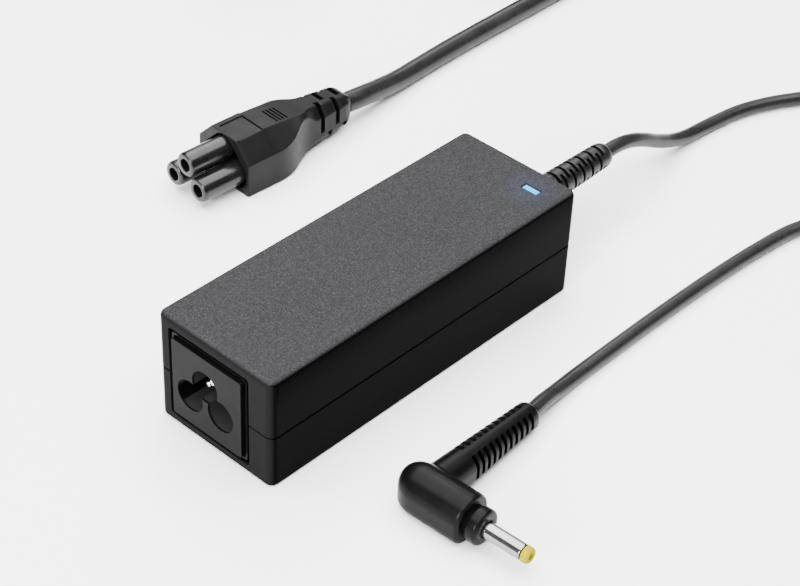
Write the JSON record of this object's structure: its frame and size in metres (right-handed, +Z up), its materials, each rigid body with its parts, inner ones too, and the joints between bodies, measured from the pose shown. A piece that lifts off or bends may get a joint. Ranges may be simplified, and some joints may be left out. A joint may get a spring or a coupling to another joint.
{
  "type": "laptop power adapter",
  "caption": "Box-shaped laptop mains adapter with a three-pin inlet, a low-voltage cord with an angled barrel plug and a detachable mains lead.",
  "frame": {"origin": "middle of the underside of the brick, inlet panel included", "axes": "+X along the brick's long side from the mains inlet to the low-voltage cord, +Z up from the surface it stands on, +Y to the side where the detached mains lead lies"},
  "size_m": [0.275, 0.2605, 0.0306],
  "materials": {
    "cover_textured": "fine spark-eroded grain, matt",
    "cover_smooth": "smooth satin black",
    "inlet_plastic": "satin",
    "plated_pin": "nickel plated",
    "wire_brown": "insulated wire",
    "wire_blue": "insulated wire",
    "wire_green": "insulated wire",
    "wire_red": "insulated wire",
    "wire_black": "insulated wire",
    "led_glow": "lit pale blue window",
    "led_body": "clear epoxy",
    "sheet_insulation": "fish paper",
    "board_laminate": "green solder mask",
    "fuse_ceramic": "ceramic tube",
    "capacitor_box": "yellow film capacitor box",
    "choke_winding": "enamelled copper on a ring core",
    "capacitor_disc": "lacquered disc",
    "component_black": "moulded epoxy",
    "capacitor_sleeve": "shrink sleeve",
    "heatsink_metal": "rolled sheet",
    "component_white": "moulded epoxy",
    "ferrite": "sintered ferrite",
    "winding_tape": "polyester tape",
    "screen_metal": "copper foil sheet",
    "cord_black": "satin sheath",
    "relief_black": "satin overmould",
    "tie_fabric": "woven hook-and-loop tie",
    "barrel_metal": "bright nickel",
    "contact_brass": "gold flashed",
    "tip_yellow": "moulded",
    "connector_insert_black": "satin nylon",
    "connector_black": "satin overmould",
    "plug_black": "satin overmould",
    "plug_face": "smooth nylon",
    "blade_brass": "bare brass"
  },
  "bodies": {
    "adapter": {"top_cover": "cover_textured", "bottom_cover": "cover_smooth", "inlet_housing": "inlet_plastic", "inlet_pin_line": "plated_pin", "inlet_pin_neutral": "plated_pin", "inlet_pin_earth": "plated_pin", "inlet_wire_line": "wire_brown", "inlet_wire_neutral": "wire_blue", "inlet_wire_earth": "wire_green", "led_light_guide": "led_glow", "status_led": "led_body", "insulating_sheet": "sheet_insulation", "circuit_board": "board_laminate", "mains_fuse": "fuse_ceramic", "x_capacitor": "capacitor_box", "common_mode_choke": "choke_winding", "y_capacitor": "capacitor_disc", "bridge_rectifier": "component_black", "bulk_capacitor": "capacitor_sleeve", "switching_transistor": "component_black", "primary_heatsink": "heatsink_metal", "optocoupler": "component_white", "controller_chip": "component_black", "transformer_core": "ferrite", "transformer_bobbin": "component_black", "transformer_winding": "winding_tape", "secondary_heatsink": "heatsink_metal", "output_rectifier": "component_black", "output_capacitor_a": "capacitor_sleeve", "output_capacitor_b": "capacitor_sleeve", "output_wire_positive": "wire_red", "output_wire_negative": "wire_black", "screening_plate": "screen_metal", "dc_strain_relief": "relief_black", "dc_cord_brick_end": "cord_black", "dc_coil": "cord_black", "dc_coil_tie": "tie_fabric", "dc_cord_plug_end": "cord_black", "dc_plug_shell": "relief_black", "dc_plug_collar": "relief_black", "dc_plug_barrel": "barrel_metal", "dc_plug_inner_contact": "contact_brass", "dc_plug_tip": "tip_yellow"},
    "mains_lead": {"connector_insert": "connector_insert_black", "connector_contact_line": "contact_brass", "connector_contact_neutral": "contact_brass", "connector_contact_earth": "contact_brass", "connector_overmould": "connector_black", "mains_cord": "cord_black", "mains_coil": "cord_black", "mains_coil_tie": "tie_fabric", "mains_cord_plug_end": "cord_black", "wall_plug_body": "plug_black", "wall_plug_face": "plug_face", "wall_plug_blade_line": "blade_brass", "wall_plug_blade_neutral": "blade_brass", "wall_plug_earth_pin": "blade_brass"}
  },
  "joints": [
    {"name": "mains_lead_lift", "type": "slide", "parent": "adapter", "child": "mains_lead", "axis": [0, 0, 1], "range_m": [0, 0.12]}
  ]
}
